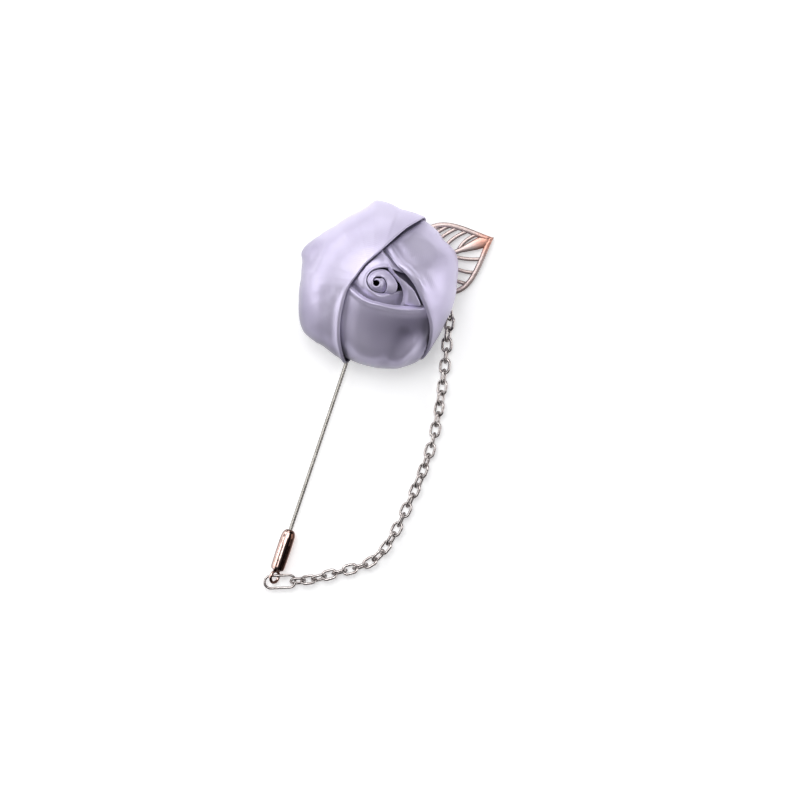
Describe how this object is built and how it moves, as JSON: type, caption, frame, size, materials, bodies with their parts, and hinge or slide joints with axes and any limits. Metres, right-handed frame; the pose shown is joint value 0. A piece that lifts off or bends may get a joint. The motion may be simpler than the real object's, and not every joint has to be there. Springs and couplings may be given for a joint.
{
  "type": "flower lapel pin",
  "caption": "Folded satin rose on a long stick pin with a pierced metal leaf, and a fine chain from the leaf to the cap on the needle's point.",
  "frame": {"origin": "middle of the flat felt back, under the middle of the rose; the pin lies on its back on z = 0", "axes": "+Z out of the rose's front, -Y along the needle towards its point and the cap, +X to the side of the leaf and the chain"},
  "size_m": [0.0503, 0.1076, 0.0219],
  "materials": {
    "satin": "satin",
    "felt": "matte felt",
    "leaf_metal": "plated, polished on the relief and dark between",
    "cap_metal": "polished rose plating",
    "chain_metal": "polished, slightly darkened plating",
    "needle_steel": "polished"
  },
  "bodies": {
    "root": {"petal_left": "satin", "petal_right": "satin", "petal_lower": "satin", "petal_inner_left": "satin", "petal_inner_right": "satin", "bud_roll": "satin", "back_disc": "felt", "leaf": "leaf_metal", "leaf_ring": "chain_metal", "stick_pin": "needle_steel", "pin_cap": "cap_metal", "cap_ring": "chain_metal", "link_01": "chain_metal", "link_02": "chain_metal", "link_03": "chain_metal", "link_04": "chain_metal", "link_05": "chain_metal", "link_06": "chain_metal", "link_07": "chain_metal", "link_08": "chain_metal", "link_09": "chain_metal", "link_10": "chain_metal", "link_11": "chain_metal", "link_12": "chain_metal", "link_13": "chain_metal", "link_14": "chain_metal", "link_15": "chain_metal", "link_16": "chain_metal", "link_17": "chain_metal", "link_18": "chain_metal", "link_19": "chain_metal", "link_20": "chain_metal", "link_21": "chain_metal", "link_22": "chain_metal", "link_23": "chain_metal", "link_24": "chain_metal", "link_25": "chain_metal", "link_26": "chain_metal", "link_27": "chain_metal", "link_28": "chain_metal", "link_29": "chain_metal", "link_30": "chain_metal", "link_31": "chain_metal", "link_32": "chain_metal", "link_33": "chain_metal", "link_34": "chain_metal"}
  },
  "joints": []
}
